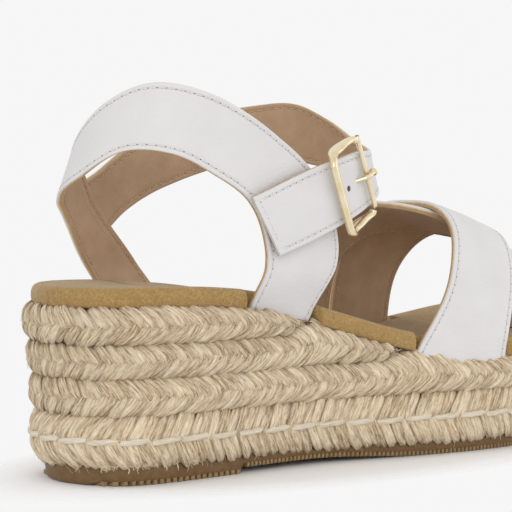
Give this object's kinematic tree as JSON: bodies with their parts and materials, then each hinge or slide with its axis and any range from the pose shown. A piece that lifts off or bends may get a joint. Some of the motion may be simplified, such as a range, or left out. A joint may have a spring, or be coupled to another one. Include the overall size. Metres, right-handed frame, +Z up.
{
  "type": "wedge sandal",
  "caption": "Braid-wrapped wedge sandal for the right foot, with a suede footbed, crossed vamp straps and a buckled ankle strap.",
  "frame": {"origin": "on the ground, below the middle of the box round the whole sandal", "axes": "+X to the toe, +Z up, -Y to the outer side of the foot"},
  "size_m": [0.2446, 0.0869, 0.127],
  "materials": {
    "rubber_sole": "matte brown rubber with fine cross ribs",
    "wedge_foam": "hidden light foam wedge",
    "jute": "natural jute braid, fibrous",
    "cream_cord": "soft cream cotton cord",
    "board": "hidden fibre board",
    "footbed_foam": "hidden soft foam",
    "suede": "olive-tan suede nap",
    "white_leather": "white fine-grained leather, satin, tan painted edges",
    "taupe_lining": "taupe lining, matte",
    "gold_metal": "polished pale gold"
  },
  "bodies": {
    "sandal": {"outsole": "rubber_sole", "wedge_core": "wedge_foam", "jute_row_1": "jute", "jute_row_2": "jute", "jute_row_3": "jute", "jute_row_4": "jute", "sole_stitch": "cream_cord", "insole_board": "board", "footbed_foam": "footbed_foam", "footbed_cover": "suede", "heel_strap_outer": "white_leather", "heel_strap_lining": "taupe_lining", "ankle_strap_outer": "white_leather", "ankle_strap_lining": "taupe_lining", "vamp_under_strap_outer": "white_leather", "vamp_under_strap_lining": "taupe_lining", "vamp_over_strap_outer": "white_leather", "vamp_over_strap_lining": "taupe_lining", "buckle_tab": "white_leather"},
    "buckle": {"buckle_frame": "gold_metal", "buckle_front_bar": "gold_metal", "buckle_centre_bar": "gold_metal"},
    "prong": {"buckle_prong": "gold_metal"}
  },
  "joints": [
    {"name": "buckle_swing", "type": "hinge", "parent": "sandal", "child": "buckle", "pos_m": [-0.02031, -0.02759, 0.09342], "axis": [0.4253, 0.107, -0.8987], "range_deg": [-2, 2]},
    {"name": "prong_swing", "type": "hinge", "parent": "buckle", "child": "prong", "pos_m": [-0.02031, -0.02759, 0.09342], "axis": [0.4253, 0.107, -0.8987], "range_deg": [0, 60]}
  ]
}
